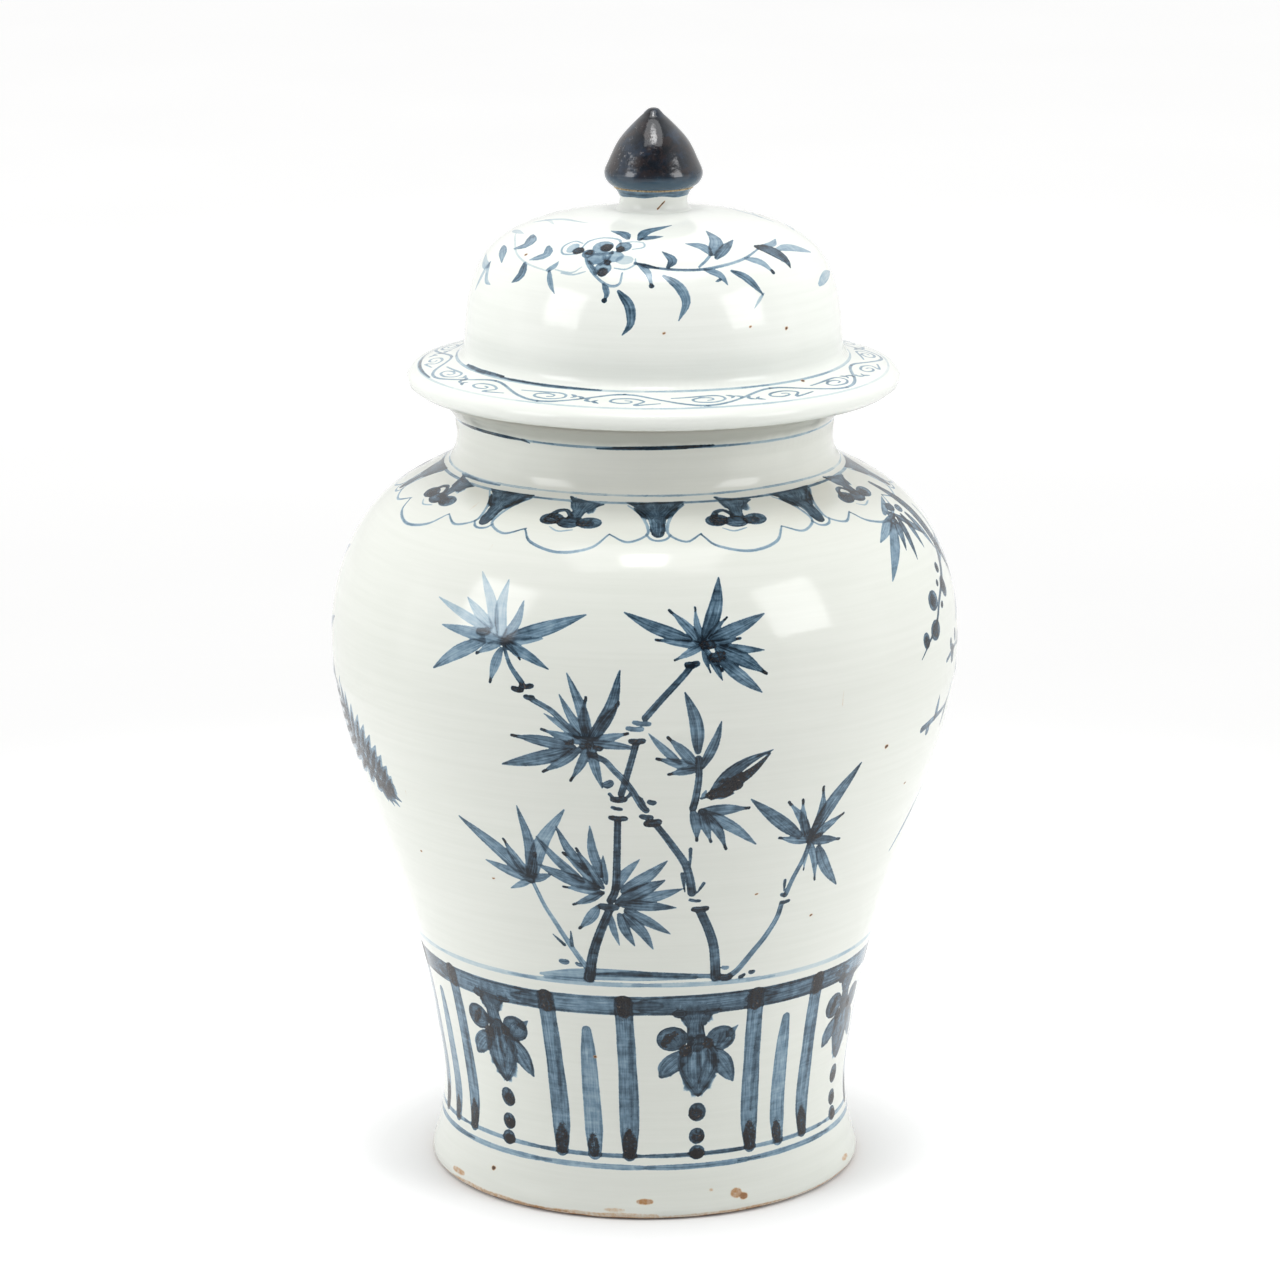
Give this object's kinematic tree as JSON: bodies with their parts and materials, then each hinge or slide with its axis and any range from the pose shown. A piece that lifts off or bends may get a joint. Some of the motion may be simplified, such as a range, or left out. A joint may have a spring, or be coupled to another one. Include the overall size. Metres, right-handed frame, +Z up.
{
  "type": "lidded ginger jar",
  "caption": "Tall baluster jar in blue and white glazed stoneware, with a loose domed lid that has a wide flange and a pointed bud finial.",
  "frame": {"origin": "centre of the foot's resting face, on the jar's axis", "axes": "+Z up along the jar's axis; -Y faces the viewer of the bamboo side"},
  "size_m": [0.2978, 0.2978, 0.508],
  "materials": {
    "jar_glaze": "glossy, painted in blue under the glaze",
    "lid_glaze": "glossy, painted in blue under the glaze",
    "cobalt_glaze": "glossy dark blue",
    "bare_clay": "matte unglazed",
    "old_glue": "matte"
  },
  "bodies": {
    "jar": {"lower_body": "jar_glaze", "upper_body": "jar_glaze", "neck_collar": "jar_glaze"},
    "lid": {"lid_shell": "lid_glaze", "lid_locating_ring": "bare_clay", "finial_stem": "lid_glaze", "finial_glue": "old_glue", "finial_bud": "cobalt_glaze"}
  },
  "joints": [
    {"name": "lid_lift", "type": "slide", "parent": "jar", "child": "lid", "axis": [0, 0, 1], "range_m": [0, 0.2]}
  ]
}
